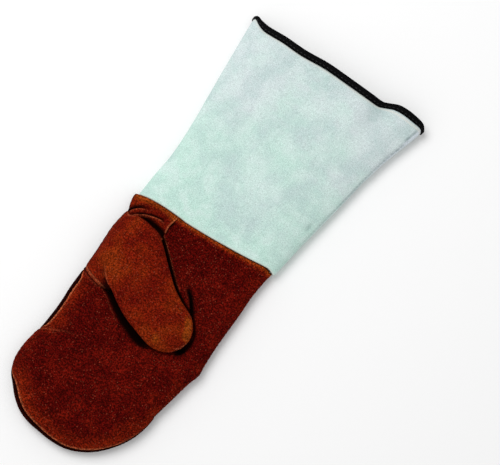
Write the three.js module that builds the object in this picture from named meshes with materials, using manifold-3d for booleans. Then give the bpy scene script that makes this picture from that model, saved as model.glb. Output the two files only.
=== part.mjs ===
// A right-hand oven glove of split leather with a long flared cuff, lying palm up on a surface.
// Millimetres. +Y runs from the fingertips to the mouth of the cuff, +X from the thumb side to the
// little finger's side as seen from above, +Z up. The underside is pressed flat at z = 0.
import * as THREE from "three";
import { mergeVertices } from "three/addons/utils/BufferGeometryUtils.js";
import Module from "manifold-3d";

// Driving sizes
const gap = 0.3; // between pieces that lie on each other
const wristGap = 0.8; // between the hand and the cuff along their seam
const handLeather = 2.4;
const cuffLeather = 2.0;
const wristLeftY = 5; // where the cuff seam meets the thumb side
const wristRightY = 25;
const mouthLeftY = 217;
const mouthRightY = 227.5;
const tipCentreY = -160; // the rounded fingertip end is drawn about a point at this y
const sideHeight = 9; // height of the widest line of the hand above the surface
const seamSwing = 23; // degrees that a seam at roll 1 climbs from the widest line on to the palm
const topFullness = 3.5; // exponent of the hand's domed upper side
const floorFullness = 7; // exponent of its underside
const floorPress = 1.15; // above 1 the underside has a flat middle
const seamHalfGap = 1.2; // degrees of the section that each panel stops short of the seam
const baseSquare = 0.4; // how much less boxy a thumb section is on its base's side
const fullLean = 40; // lean at which a thumb section's margin shows in full in its depth
const wristFade = 8; // how fast the wrist seam's bow fades away from the seam
const centreShift = 1.35; // moves the whole glove along y so that its box is centred

// Steps of the surfaces
const sideRows = 20;
const tipRows = 20;
const topColumns = 8;
const floorColumns = 8;
const cuffRows = 14;
const cuffColumns = 9;
const thumbRings = 26;
const thumbSides = 28;

const merge = 1e-3; // points closer than this are one
const cutter = { from: -20, to: 60 }; // heights that the cutting blocks span

function table(columns, rows) {
  return rows.map((row) => Object.fromEntries(columns.map((name, i) => [name, row[i]])));
}

// Outline of the hand on the thumb's side. Roll says where the seam runs: 1 on the palm, -1 underneath.
const thumbSide = table(["y", "x", "roll"], [
  [8, -85, -1],
  [0, -86.8, -1],
  [-11, -82.4, -1],
  [-22, -83.6, -1],
  [-36, -84, -1],
  [-62, -81, -1],
  [-82, -78.2, -1],
  [-90, -77.4, -0.8],
  [-97, -77.6, 0.8],
  [-112, -78.2, 1],
  [-131, -76.4, 1],
  [-148, -75.6, 0.9],
  [-160, -78, 0.4],
]);

// Outline on the little finger's side, with the knuckle's soft corner.
const littleSide = table(["y", "x", "roll"], [
  [28, 73, -0.5],
  [13, 71.2, -0.5],
  [-7, 70.5, -0.5],
  [-31, 72, -0.5],
  [-68, 73, -0.5],
  [-90, 75, -0.5],
  [-101, 76.8, -0.5],
  [-113, 73.4, -0.5],
  [-137, 69.5, -0.5],
  [-160, 66, -0.5],
]);

// Outline round the fingertips: distance from the tip centre at each angle.
const tip = table(["angle", "reach", "roll"], [
  [180, 72, 0.4],
  [186, 74.6, 0.3],
  [193, 75.4, 0.7],
  [200, 78, 1],
  [211, 82.6, 1],
  [235, 83.4, 1],
  [248, 83.2, 1],
  [257, 81.4, 0.9],
  [274, 80.2, 0.6],
  [290, 79.2, 0.2],
  [304, 76.8, -0.3],
  [320, 74.6, -0.5],
  [338, 72.6, -0.5],
  [360, 72, -0.5],
]);

// Height of the domed palm along the hand: along is 0 at the wrist and 1 at the tip centre.
const palmCrown = table(["along", "top"], [
  [0, 24],
  [0.3, 25.4],
  [0.7, 26.4],
  [1, 25.4],
]);

// Bow of the cuff seam: rise towards the cuff at each share of the width.
const wristBow = table(["across", "rise"], [
  [0, 0],
  [0.09, 1],
  [0.25, -0.8],
  [0.4, -1.8],
  [0.6, 0],
  [0.8, 2.8],
  [0.92, 3.3],
  [1, -1],
]);

// The thumb, section by section from the root, where it stands in the palm's cut-out, to the tip. Lean
// is how far a section's top lies behind its base, heights are above the palm's surface, square is near 1
// for a boxy section, and hug is 1 where the top side follows the hand's outline.
const thumb = table(["x", "y", "turn", "lean", "top", "base", "half", "square", "hug"], [
  [-58.6, -49.4, 0, 48, -3.8, -3.4, 39.2, 0.75, 1],
  [-59.2, -49.2, 0, 48.6, 1, -1, 38.6, 0.7, 1],
  [-57.4, -47.2, -3, 42, 6.4, 0.6, 36.2, 0.5, 0.8],
  [-52, -45.2, -7, 34, 10.8, 0.9, 34.2, 0.35, 0.4],
  [-46, -48, -12, 22, 13.4, 0.9, 34.6, 0.25, 0.2],
  [-38, -53, -17, 11, 15, 0.9, 33.6, 0.2, 0],
  [-28, -58.5, -20, 3, 15.8, 0.9, 32, 0.2, 0],
  [-16.5, -66.4, -21, 0, 16.2, 0.9, 30, 0.2, 0],
  [-3, -74.2, -21, 0, 16, 0.9, 28, 0.2, 0],
  [12.2, -79.8, -21, 0, 15.6, 0.9, 26.4, 0.2, 0],
  [27.1, -84.1, -21, 0, 14.6, 0.9, 25.2, 0.15, 0],
  [36.6, -87.4, -21, 0, 12.8, 1.4, 21.2, 0.1, 0],
  [42.6, -89.3, -21, 0, 10.4, 2.6, 15.7, 0.05, 0],
  [46.2, -90.6, -21, 0, 8.4, 4, 9.6, 0, 0],
  [48.2, -91.2, -21, 0, 6.2, 6.2, 0, 0, 0],
]);

// Cut-out of the palm panel, which the thumb piece fills.
const cutOut = table(["x", "y"], [
  [-35.6, 40],
  [-36.4, -8],
  [-33.8, -24],
  [-33.1, -48],
  [-35, -70],
  [-44, -88.6],
  [-60, -89.6],
  [-100, -88.4],
  [-100, 40],
]);

// Strip of the thumb piece between the cuff seam and the fold at the thumb's root.
const strip = table(["x", "y"], [
  [-36, 40],
  [-36.8, -8],
  [-34.8, -20],
  [-41, -21],
  [-46, -14.4],
  [-60, -13.6],
  [-78, -14],
  [-100, -15],
  [-100, 40],
]);

// The cuff's two sides and its shape from the wrist to the mouth.
const cuff = table(["along", "left", "right", "top", "side", "floor", "fullness"], [
  [0, -83.4, 73, 24, 9, 0, 3.5],
  [0.1, -82.6, 75, 24, 9, 0, 3.5],
  [0.2, -82, 77.6, 24, 9, 0, 3.3],
  [0.34, -83.4, 81.2, 24, 9, 0, 3],
  [0.48, -87.3, 84.5, 24, 9, 0, 2.8],
  [0.62, -91.6, 87.2, 24, 9.1, 0, 2.7],
  [0.75, -95.8, 91.4, 24, 9.5, 0.2, 2.5],
  [0.88, -99.9, 97.5, 23.8, 10, 0.8, 2.4],
  [1, -103.4, 103.2, 23.4, 10.4, 1.6, 2.4],
]);

// Cut edge of the cuff's mouth: rise beyond the straight line from corner to corner.
const mouthEdge = table(["across", "rise"], [
  [0, 2],
  [0.012, 3.2],
  [0.041, 1.1],
  [0.085, -0.6],
  [0.14, -0.5],
  [0.31, -0.6],
  [0.44, 1.5],
  [0.575, 1.1],
  [0.71, 0.7],
  [0.76, 1.3],
  [0.79, 4.1],
  [0.83, 7.6],
  [0.885, 8.6],
  [0.945, 7.9],
  [0.975, 6.8],
  [0.988, 5.4],
  [1, 2.5],
]);
const mouthEdgeReach = 0.25; // share of the cuff's length over which that edge fades out

const mouthDent = { x: 58, y: 234, wide: 13, long: 42, deep: 3 }; // soft valley in the upper side

const tape = { thick: 1, depth: 5.6 }; // binding folded over the mouth's edge

// Reads a table at a value of its first column, with a smooth curve through the rows.
function readAt(rows, value) {
  const key = Object.keys(rows[0])[0];
  const up = rows[rows.length - 1][key] > rows[0][key] ? 1 : -1;
  let i = 0;
  while (i < rows.length - 2 && up * rows[i + 1][key] < up * value) i++;
  const a = rows[i];
  const b = rows[i + 1];
  const span = b[key] - a[key];
  const t = THREE.MathUtils.clamp((value - a[key]) / span, 0, 1);
  const slope = (k, name) => {
    const before = rows[Math.max(k - 1, 0)];
    const after = rows[Math.min(k + 1, rows.length - 1)];
    return ((after[name] - before[name]) / (after[key] - before[key])) * span;
  };
  const curve = (name) =>
    a[name] * (2 * t ** 3 - 3 * t ** 2 + 1) + slope(i, name) * (t ** 3 - 2 * t ** 2 + t) +
    b[name] * (3 * t ** 2 - 2 * t ** 3) + slope(i + 1, name) * (t ** 3 - t ** 2);
  return Object.fromEntries(Object.keys(a).map((name) => [name, name === key ? value : curve(name)]));
}

// Cross-section of a flattened tube, from its outline to its middle line. The angle runs from -90 under
// the middle through 0 at the widest line to 90 on top. Returns the inset from the outline and the height.
function sectionAt(degrees, halfWidth, shape) {
  const angle = THREE.MathUtils.degToRad(degrees);
  const share = Math.max(Math.cos(angle), 0);
  const over = degrees >= 0;
  const inset = halfWidth * (1 - share ** (2 / (over ? shape.fullness : floorFullness)));
  const rise = (shape.top - shape.side) * Math.sin(angle);
  const fall = (shape.side - shape.floor) * Math.min(1, -floorPress * Math.sin(angle));
  return { inset, z: over ? shape.side + rise : shape.side - fall };
}

function pointBetween(edge, middle, degrees, shape) {
  const halfWidth = edge.distanceTo(middle);
  const { inset, z } = sectionAt(degrees, halfWidth, shape);
  const p = edge.clone().lerp(middle, Math.min(inset / halfWidth, 1));
  return new THREE.Vector3(p.x, p.y, z);
}

// The hand's outline as a list of stations from the wrist on the thumb's side, round the fingertips, to
// the wrist on the other side. Each has its edge point, its point on the middle line and its section.
function handStations() {
  const { lerp } = THREE.MathUtils;
  const stations = [];
  const sideStation = (along, left) => {
    const leftY = lerp(wristLeftY, tipCentreY, along);
    const rightY = lerp(wristRightY, tipCentreY, along);
    const a = readAt(thumbSide, leftY);
    const b = readAt(littleSide, rightY);
    const edge = left ? new THREE.Vector2(a.x, leftY) : new THREE.Vector2(b.x, rightY);
    const middle = new THREE.Vector2((a.x + b.x) / 2, (leftY + rightY) / 2);
    const roll = left ? a.roll : b.roll;
    return { edge, middle, roll, along, widthStart: a.x, width: b.x - a.x };
  };
  for (let i = 0; i <= sideRows; i++) stations.push(sideStation(i / sideRows, true));
  const last = stations[sideRows];
  for (let i = 1; i < tipRows; i++) {
    const row = readAt(tip, lerp(180, 360, i / tipRows));
    const angle = THREE.MathUtils.degToRad(row.angle);
    const edge = new THREE.Vector2(Math.cos(angle), Math.sin(angle)).multiplyScalar(row.reach);
    edge.add(last.middle);
    stations.push({ ...last, edge, roll: row.roll });
  }
  for (let i = sideRows; i >= 0; i--) stations.push(sideStation(i / sideRows, false));
  return stations.map((s) => ({
    ...s,
    shape: { top: readAt(palmCrown, s.along).top, side: sideHeight, floor: 0, fullness: topFullness },
  }));
}

function handPoint(station, degrees) {
  const p = pointBetween(station.edge, station.middle, degrees, station.shape);
  const across = (p.x - station.widthStart) / station.width;
  p.y += readAt(wristBow, THREE.MathUtils.clamp(across, 0, 1)).rise * (1 - station.along) ** wristFade;
  return p;
}

// Height of the domed palm over a point of the plan, for what lies on it.
function palmHeight(x, y) {
  const across = THREE.MathUtils.clamp((x - thumbSide[0].x) / (littleSide[0].x - thumbSide[0].x), 0, 1);
  const edgeY = THREE.MathUtils.lerp(wristLeftY, wristRightY, across);
  const along = THREE.MathUtils.clamp((edgeY - y) / (edgeY - tipCentreY), 0, 1);
  const left = readAt(thumbSide, y).x;
  const right = readAt(littleSide, y).x;
  const half = (right - left) / 2;
  const inset = Math.max(Math.min(x - left, right - x), 0);
  const crown = readAt(palmCrown, along).top;
  const share = Math.max(1 - inset / half, 0) ** topFullness;
  return sideHeight + (crown - sideHeight) * Math.sqrt(1 - share);
}

// Triangles of a grid of points, row by row: the first row's columns run first, so that a step along a
// row, crossed with a step to the next row, points out.
function gridFaces(rowCount, columns, closed) {
  const faces = [];
  const steps = closed ? columns : columns - 1;
  for (let i = 0; i < rowCount - 1; i++)
    for (let j = 0; j < steps; j++) {
      const next = (j + 1) % columns;
      const a = i * columns + j;
      const b = i * columns + next;
      const c = (i + 1) * columns + next;
      const d = (i + 1) * columns + j;
      faces.push([a, b, c], [a, c, d]);
    }
  return faces;
}

function normalsOf(rows, closed) {
  const last = rows.length - 1;
  const columns = rows[0].length;
  return rows.map((row, i) =>
    row.map((_, j) => {
      const before = closed ? (j + columns - 1) % columns : Math.max(j - 1, 0);
      const after = closed ? (j + 1) % columns : Math.min(j + 1, columns - 1);
      const alongRow = row[after].clone().sub(row[before]);
      const toNext = rows[Math.min(i + 1, last)][j].clone().sub(rows[Math.max(i - 1, 0)][j]);
      return alongRow.cross(toNext).normalize();
    }),
  );
}

function geometryFrom(positions, faces) {
  const geometry = new THREE.BufferGeometry();
  geometry.setAttribute("position", new THREE.Float32BufferAttribute(positions, 3));
  geometry.setIndex(faces.flat());
  const merged = mergeVertices(geometry, merge);
  const kept = [];
  const { array } = merged.index;
  for (let i = 0; i < array.length; i += 3) {
    const [a, b, c] = array.slice(i, i + 3);
    if (a !== b && b !== c && c !== a) kept.push(a, b, c);
  }
  merged.setIndex(kept);
  return merged;
}

// A closed wall on a grid of points: the grid is its outer face, the same grid set in along the normals
// is its inner face, and a rim closes every open edge. Points that coincide share one normal.
function wallOf(rows, normals, thickness, closed) {
  const points = rows.flat();
  const first = new Map();
  const same = points.map((p, i) => {
    const key = p.toArray().map((value) => Math.round(value / merge)).join();
    if (!first.has(key)) first.set(key, i);
    return first.get(key);
  });
  const sums = points.map(() => new THREE.Vector3());
  normals.flat().forEach((n, i) => sums[same[i]].add(n));
  const inner = points.map((_, i) => {
    const k = same[i];
    return points[k].clone().addScaledVector(sums[k].normalize(), -thickness);
  });
  const count = points.length;
  const faces = gridFaces(rows.length, rows[0].length, closed)
    .map((face) => face.map((i) => same[i]))
    .filter(([a, b, c]) => a !== b && b !== c && c !== a);
  const edges = new Map();
  for (const [a, b, c] of faces)
    for (const [from, to] of [[a, b], [b, c], [c, a]]) edges.set(`${from} ${to}`, [from, to]);
  const rim = [];
  for (const [from, to] of edges.values())
    if (!edges.has(`${to} ${from}`))
      rim.push([from, from + count, to], [to, from + count, to + count]);
  const inside = faces.map(([a, b, c]) => [a + count, c + count, b + count]);
  const positions = [...points, ...inner].flatMap((p) => p.toArray());
  return geometryFrom(positions, [...faces, ...inside, ...rim]);
}

const library = await Module();
library.setup();

function solidOf(geometry) {
  const bare = geometry.index ? geometry : mergeVertices(geometry, merge);
  return new library.Manifold(
    new library.Mesh({
      numProp: 3,
      vertProperties: new Float32Array(bare.attributes.position.array),
      triVerts: new Uint32Array(bare.index.array),
    }),
  );
}

function geometryOf(solid) {
  const mesh = solid.getMesh();
  const geometry = new THREE.BufferGeometry();
  geometry.setAttribute("position", new THREE.BufferAttribute(mesh.vertProperties, 3));
  geometry.setIndex(new THREE.BufferAttribute(mesh.triVerts, 1));
  return geometry;
}

// An upright block over an outline, for cutting panels in plan.
function blockOver(outline) {
  const shape = new THREE.Shape(outline.map((p) => new THREE.Vector2(p.x, p.y)));
  const block = new THREE.ExtrudeGeometry(shape, { depth: cutter.to - cutter.from, bevelEnabled: false });
  block.translate(0, 0, cutter.from);
  block.deleteAttribute("normal");
  block.deleteAttribute("uv");
  return solidOf(mergeVertices(block, merge));
}

// A wall over one side of the hand, from the seam to the middle line: towards is 1 for the palm's side
// and -1 for the back's. Its normals are those of the whole section, so that two walls don't cross.
function handWall(towards, columns) {
  const stations = handStations();
  const last = stations.length - 1;
  const around = (i, degrees) => handPoint(stations[THREE.MathUtils.clamp(i, 0, last)], degrees);
  const rows = [];
  const normals = [];
  stations.forEach((station, i) => {
    const seam = station.roll * seamSwing + towards * seamHalfGap;
    const angles = Array.from({ length: columns + 1 }, (_, j) =>
      THREE.MathUtils.lerp(seam, towards * 90, j / columns));
    rows.push(angles.map((degrees) => around(i, degrees)));
    normals.push(angles.map((degrees, j) => {
      if (j === columns) return new THREE.Vector3(0, 0, towards);
      const climb = around(i, degrees - 1).sub(around(i, degrees + 1));
      return climb.cross(around(i + 1, degrees).sub(around(i - 1, degrees))).normalize();
    }));
  });
  if (towards > 0) {
    rows.reverse();
    normals.reverse();
  }
  return wallOf(rows, normals, handLeather, false);
}

// The thumb's outer surface, grown by a margin, as rings from root to tip.
function thumbRingsOf(margin) {
  const rings = [];
  for (let i = 0; i <= thumbRings; i++) {
    const step = (i / thumbRings) * (thumb.length - 1);
    const s = readAt(thumb.map((row, k) => ({ step: k, ...row })), step);
    const turn = THREE.MathUtils.degToRad(s.turn);
    const forward = new THREE.Vector2(Math.cos(turn), Math.sin(turn));
    const sideways = new THREE.Vector2(-Math.sin(turn), Math.cos(turn));
    const half = Math.max(s.half, 0) + (i < thumbRings ? margin : 0);
    const behind = s.lean / 2 + margin * Math.min(s.lean / fullLean, 1);
    const outline = readAt(thumbSide, s.y).x;
    const ring = [];
    for (let j = 0; j < thumbSides; j++) {
      const angle = (j / thumbSides) * 2 * Math.PI;
      const power = 1 - s.square * (j > thumbSides / 2 ? baseSquare : 1);
      const up = Math.sign(Math.sin(angle)) * Math.abs(Math.sin(angle)) ** power;
      const out = Math.sign(Math.cos(angle)) * Math.abs(Math.cos(angle)) ** power;
      const p = new THREE.Vector2(s.x, s.y);
      p.addScaledVector(forward, -up * behind).addScaledVector(sideways, out * half);
      p.x += s.hug * (readAt(thumbSide, p.y).x - outline) * (0.5 + up / 2);
      const level = (s.top + s.base) / 2 + up * ((s.top - s.base) / 2 + margin);
      ring.push(new THREE.Vector3(p.x, p.y, palmHeight(p.x, p.y) + level));
    }
    rings.push(ring);
  }
  return rings;
}

function thumbTube() {
  const rings = thumbRingsOf(0);
  return solidOf(wallOf(rings, normalsOf(rings, true), handLeather, true));
}

// The thumb's outer form as a full body, for keeping the palm clear of it.
function thumbForm() {
  const rings = thumbRingsOf(2 * gap);
  const middle = (ring) => ring.reduce((sum, p) => sum.add(p), new THREE.Vector3()).divideScalar(ring.length);
  const root = rings[0].map(() => middle(rings[0]));
  const rows = [root, ...rings];
  const positions = rows.flat().flatMap((p) => p.toArray());
  return solidOf(geometryFrom(positions, gridFaces(rows.length, thumbSides, true)));
}

function cuffPoint(along, degrees, left) {
  const s = readAt(cuff, along);
  const { lerp, clamp } = THREE.MathUtils;
  const leftY = lerp(wristLeftY + wristGap, mouthLeftY, along);
  const rightY = lerp(wristRightY + wristGap, mouthRightY, along);
  const edge = left ? new THREE.Vector2(s.left, leftY) : new THREE.Vector2(s.right, rightY);
  const middle = new THREE.Vector2((s.left + s.right) / 2, (leftY + rightY) / 2);
  const p = pointBetween(edge, middle, degrees, s);
  const across = clamp((p.x - s.left) / (s.right - s.left), 0, 1);
  const fade = clamp((along - 1) / mouthEdgeReach + 1, 0, 1);
  p.y += readAt(wristBow, across).rise * (1 - along) ** wristFade;
  p.y += readAt(mouthEdge, across).rise * fade ** 2;
  if (degrees > 0) {
    const d = ((p.x - mouthDent.x) / mouthDent.wide) ** 2 + ((p.y - mouthDent.y) / mouthDent.long) ** 2;
    p.z -= mouthDent.deep * Math.exp(-d) * Math.sin(THREE.MathUtils.degToRad(degrees));
  }
  return p;
}

// One ring round the cuff: up the left half, over the top and down the right half.
function cuffRing(along) {
  const ring = [];
  const steps = cuffColumns * 2;
  for (let j = 0; j <= steps; j++) ring.push(cuffPoint(along, -90 + (180 * j) / steps, true));
  for (let j = steps - 1; j > 0; j--) ring.push(cuffPoint(along, -90 + (180 * j) / steps, false));
  return ring;
}

function cuffWall() {
  const rings = Array.from({ length: cuffRows + 1 }, (_, i) => cuffRing(i / cuffRows));
  return wallOf(rings, normalsOf(rings, true), cuffLeather, true);
}

// The tape's folded section is carried round the mouth, outside, over the edge and back inside.
function bindingLoop() {
  const length = mouthLeftY - wristLeftY;
  const mouth = cuffRing(1);
  const inboard = cuffRing(1 - tape.depth / length);
  const count = mouth.length;
  const profiles = mouth.map((edge, i) => {
    const forward = edge.clone().sub(inboard[i]).normalize();
    const next = mouth[(i + 1) % count].clone().sub(mouth[(i + count - 1) % count]);
    const out = next.cross(forward).normalize();
    const at = (along, off) => {
      const from = along < 0 ? inboard[i] : edge;
      const extra = along < 0 ? 0 : along;
      return from.clone().addScaledVector(forward, extra).addScaledVector(out, off);
    };
    const near = gap;
    const far = gap + tape.thick;
    const inside = -cuffLeather;
    return [
      at(-1, far),
      at(near * 0.5, far),
      at(far, near * 0.5),
      at(far, inside - near * 0.5),
      at(near * 0.5, inside - far),
      at(-1, inside - far),
      at(-1, inside - near),
      at(near, inside - near),
      at(near, near),
      at(-1, near),
    ];
  });
  const positions = [...profiles, profiles[0]].reverse().flat().flatMap((p) => p.toArray());
  return geometryFrom(positions, gridFaces(profiles.length + 1, profiles[0].length, true));
}

const brownSuede = { color: 0x6b1a08, roughness: 0.95, metalness: 0 };
const thumbSuede = { color: 0x7c2408, roughness: 0.95, metalness: 0 };
const greySuede = { color: 0xcfe0dc, roughness: 0.92, metalness: 0 };
const blackTape = { color: 0x0c0b0b, roughness: 0.7, metalness: 0 };

const glove = new THREE.Group();

function add(name, geometry, look) {
  const mesh = new THREE.Mesh(geometry, new THREE.MeshStandardMaterial(look));
  mesh.name = name;
  mesh.position.set(0, centreShift, 0);
  glove.add(mesh);
}

const upper = solidOf(handWall(1, topColumns));
const palmPanel = upper.subtract(blockOver(cutOut)).subtract(thumbForm());
const thumbPiece = upper.intersect(blockOver(strip)).add(thumbTube());
add("palm", geometryOf(palmPanel), brownSuede);
add("back", handWall(-1, floorColumns), brownSuede);
add("thumb", geometryOf(thumbPiece), thumbSuede);
add("cuff", cuffWall(), greySuede);
add("cuff_binding", bindingLoop(), blackTape);

export default glove;
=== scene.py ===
import math

import bmesh
import bpy
import numpy as np
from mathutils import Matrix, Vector


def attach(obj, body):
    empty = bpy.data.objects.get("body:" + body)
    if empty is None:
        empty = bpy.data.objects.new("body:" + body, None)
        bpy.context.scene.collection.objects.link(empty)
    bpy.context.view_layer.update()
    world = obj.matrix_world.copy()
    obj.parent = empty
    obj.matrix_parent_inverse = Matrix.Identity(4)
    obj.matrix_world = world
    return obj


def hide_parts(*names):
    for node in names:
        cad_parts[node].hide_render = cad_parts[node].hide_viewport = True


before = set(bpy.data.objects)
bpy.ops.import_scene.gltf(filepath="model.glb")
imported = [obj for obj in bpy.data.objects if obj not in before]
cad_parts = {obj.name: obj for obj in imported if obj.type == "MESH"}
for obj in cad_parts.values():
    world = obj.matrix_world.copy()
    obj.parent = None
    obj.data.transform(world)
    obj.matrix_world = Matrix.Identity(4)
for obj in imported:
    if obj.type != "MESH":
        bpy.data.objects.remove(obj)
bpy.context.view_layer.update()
print("frame loaded:", ", ".join(sorted(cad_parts)))

mm = 0.001

hand = {
    "leather": 2.4,        # thickness of the brown leather
    "wristLeft": 2.5,      # where the cuff's seam meets each side
    "wristRight": 21.5,
    "tipCentre": -160.0,   # the round end is drawn about the middle line at this y
    "side": 9.0,           # height of the widest line
    "fullness": 3.5,       # exponent of the domed palm
    "floorFullness": 7.0,  # exponent of the underside
    "floorPress": 1.15,    # above 1 the underside has a flat middle
    "seamSwing": 23.0,     # degrees that a seam at roll 1 climbs on to the palm
    "seamHalf": 0.9,       # degrees that each panel stops short of the seam
    "bowFade": 8,          # how fast the wrist seam's bow fades
    "wristStart": -85.0,   # x where the wrist seam starts on the thumb's side
    "wristWidth": 158.0,   # run of the wrist seam in x
    "meanHalf": 78.0,      # half width and rise of the section that points are spaced for
    "meanRise": 16.0,
    "sideSteps": 300,      # stations along each side and round the tip
    "tipSteps": 420,
    "centreShift": 1.35,   # moves the whole glove along y so that its box is centred
}


def curveThrough(rows):
    # A smooth curve through the rows of a table, read by its first column: on each stretch a cubic
    # whose slope at a row is that of the line between the two rows beside it. Reading gives one value
    # for each further column.
    table = np.array(rows, float)
    if table[-1, 0] < table[0, 0]:
        table = table[::-1]
    keys, values = table[:, 0], table[:, 1:]
    spot = np.arange(len(keys))
    before, after = np.maximum(spot - 1, 0), np.minimum(spot + 1, len(keys) - 1)
    slopes = (values[after] - values[before]) / (keys[after] - keys[before])[:, None]

    def read(at):
        at = np.clip(np.asarray(at, float), keys[0], keys[-1])
        i = np.clip(np.searchsorted(keys, at, side="right") - 1, 0, len(keys) - 2)
        span = (keys[i + 1] - keys[i])[..., None]
        t = (at - keys[i])[..., None] / span
        start, end = 2 * t**3 - 3 * t**2 + 1, 3 * t**2 - 2 * t**3
        leave, arrive = t**3 - 2 * t**2 + t, t**3 - t**2
        found = values[i] * start + values[i + 1] * end
        found += span * (slopes[i] * leave + slopes[i + 1] * arrive)
        return found[..., 0] if found.shape[-1] == 1 else np.moveaxis(found, -1, 0)

    return read


def pathThrough(rows):
    # The same curve through points of a path, read from 0 to 1 by its length.
    points = np.array(rows, float)
    steps = np.hypot(np.diff(points[:, 0]), np.diff(points[:, 1]))
    share = np.concatenate([[0], np.cumsum(steps)]) / steps.sum()
    return curveThrough(np.column_stack([share, points]))


def smooth(value, low, high):
    # 0 below low, 1 above high and an even S between.
    t = np.clip((value - low) / (high - low), 0, 1)
    return t * t * (3 - 2 * t)


def bump(distance, width, power=2):
    # 1 where the distance is nothing, falling away evenly: exp(-|distance / width|^power).
    return np.exp(-np.abs(distance / width) ** power)


def waves(x, y, length, amount, seed):
    # Soft unevenness: the mean of seven sine waves of about that length, in directions and phases
    # drawn from the seed.
    dice = np.random.default_rng(seed)
    total = np.zeros_like(x)
    for _ in range(7):
        turn, phase = dice.uniform(0, 2 * math.pi, 2)
        pace = 2 * math.pi / (length * dice.uniform(0.75, 1.5))
        total += np.sin((x * math.cos(turn) + y * math.sin(turn)) * pace + phase)
    return amount * total / 7**0.5


# Outline of the hand: y, x and where the seam runs, from 1 on the palm to -1 underneath.
thumbSide = curveThrough([
    (8, -84.4, -1), (3.6, -85.3, -1), (-1, -85.6, -1), (-6.3, -84.4, -1), (-10.6, -83, -1),
    (-14.8, -81.2, -1), (-19.5, -81.6, -1), (-26, -82.2, -1), (-38, -82.8, -1), (-49, -81.8, -1),
    (-61, -80.6, -1), (-73, -79.4, -1), (-84, -79, -1), (-88, -78.9, -0.2), (-92, -78.8, 0.6),
    (-98, -78.6, 1), (-111, -78, 1), (-124, -76.4, 1), (-136, -75.6, 1), (-148, -75.4, 0.95),
    (-154, -75.4, 0.8), (-157, -75.6, 0.5), (-160, -76, 0.2),
])
littleSide = curveThrough([
    (28, 73, -0.5), (13, 71.2, -0.5), (-7, 70.5, -0.5), (-31, 72, -0.5), (-68, 73.4, -0.5),
    (-90, 75.6, -0.5), (-101, 77.2, -0.4), (-113, 74.4, -0.2), (-137, 71, 0), (-160, 67.5, 0.1),
])
# The round end: angle, distance from the tip's centre, and the seam's place as above.
tipCurve = curveThrough([
    (180, 71, 0.2), (183, 72.6, -0.1), (190, 74.8, -0.2), (200, 79, -0.2), (209, 82.6, -0.1),
    (217, 84.2, 0.35), (226, 83.2, 0.9), (236, 83.6, 1), (246, 83.4, 1), (255, 81.8, 1), (264, 80, 0.9),
    (276, 79.7, 0.8), (286, 79.8, 0.7), (303, 78, 0.6), (320, 75.4, 0.45), (338, 73.8, 0.3),
    (360, 72.5, 0.1),
])
# height of the palm over the share of the hand's length
palmCrown = curveThrough([(0, 24), (0.3, 25.4), (0.7, 26.4), (1, 25.4)])
# shift of the wrist seam in y over the share of its width
wristBow = curveThrough([
    (0, 0), (0.03, 0.9), (0.07, 1.7), (0.15, 1.9), (0.22, 1.5), (0.31, 0.3), (0.37, -0.8), (0.55, -1),
    (0.65, -0.5), (0.75, 0.1), (0.85, 1.2), (0.92, 2.4), (0.955, 2.3), (1, -0.3),
])


def outlineStations():
    # Stations round the hand's outline, from the wrist on the thumb's side round the fingertips to the
    # other wrist: edge point, point on the middle line, seam roll and share of the hand's length.
    along = np.linspace(0, 1, hand["sideSteps"])
    leftY = hand["wristLeft"] + (hand["tipCentre"] - hand["wristLeft"]) * along
    rightY = hand["wristRight"] + (hand["tipCentre"] - hand["wristRight"]) * along
    leftX, leftRoll = thumbSide(leftY)
    rightX, rightRoll = littleSide(rightY)
    middle = np.column_stack([(leftX + rightX) / 2, (leftY + rightY) / 2])
    degrees = np.linspace(180, 360, hand["tipSteps"] + 2)[1:-1]
    reach, tipRoll = tipCurve(degrees)
    spoke = np.column_stack([np.cos(np.radians(degrees)), np.sin(np.radians(degrees))])
    edge = np.vstack([
        np.column_stack([leftX, leftY]),
        middle[-1] + spoke * reach[:, None],
        np.column_stack([rightX, rightY])[::-1],
    ])
    middles = np.vstack([middle, np.repeat(middle[-1:], hand["tipSteps"], 0), middle[::-1]])
    rolls = np.concatenate([leftRoll, tipRoll, rightRoll[::-1]])
    alongs = np.concatenate([along, np.ones(hand["tipSteps"]), along[::-1]])
    return edge, middles, rolls, alongs


outline, outlineMiddle, outlineRoll, outlineAlong = outlineStations()
outlineHalf = np.linalg.norm(outline - outlineMiddle, axis=1)
outlineLength = np.concatenate([[0], np.cumsum(np.linalg.norm(np.diff(outline, axis=0), axis=1))])


def stationsAt(lengths):
    # Edge, middle, half width, roll and along at lengths measured round the outline.
    columns = np.column_stack([outline, outlineMiddle, outlineRoll, outlineAlong])
    found = np.column_stack([np.interp(lengths, outlineLength, column) for column in columns.T])
    edge, middle = found[:, 0:2], found[:, 2:4]
    return edge, middle, np.linalg.norm(edge - middle, axis=1), found[:, 4], found[:, 5]


def section(degrees, half, top, side, floor, fullness):
    # Flattened tube: inset from the outline and height at an angle, -90 under the middle, 0 at the
    # widest line and 90 on top. Inset is half times (1 - cos^(2 / fullness)), height follows the sine.
    angle = np.radians(degrees)
    share = np.clip(np.cos(angle), 0, 1)
    power = np.where(degrees >= 0, fullness, hand["floorFullness"])
    inset = half * (1 - share ** (2 / power))
    under = side - (side - floor) * np.minimum(1, -hand["floorPress"] * np.sin(angle))
    return inset, np.where(degrees >= 0, side + (top - side) * np.sin(angle), under)


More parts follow.
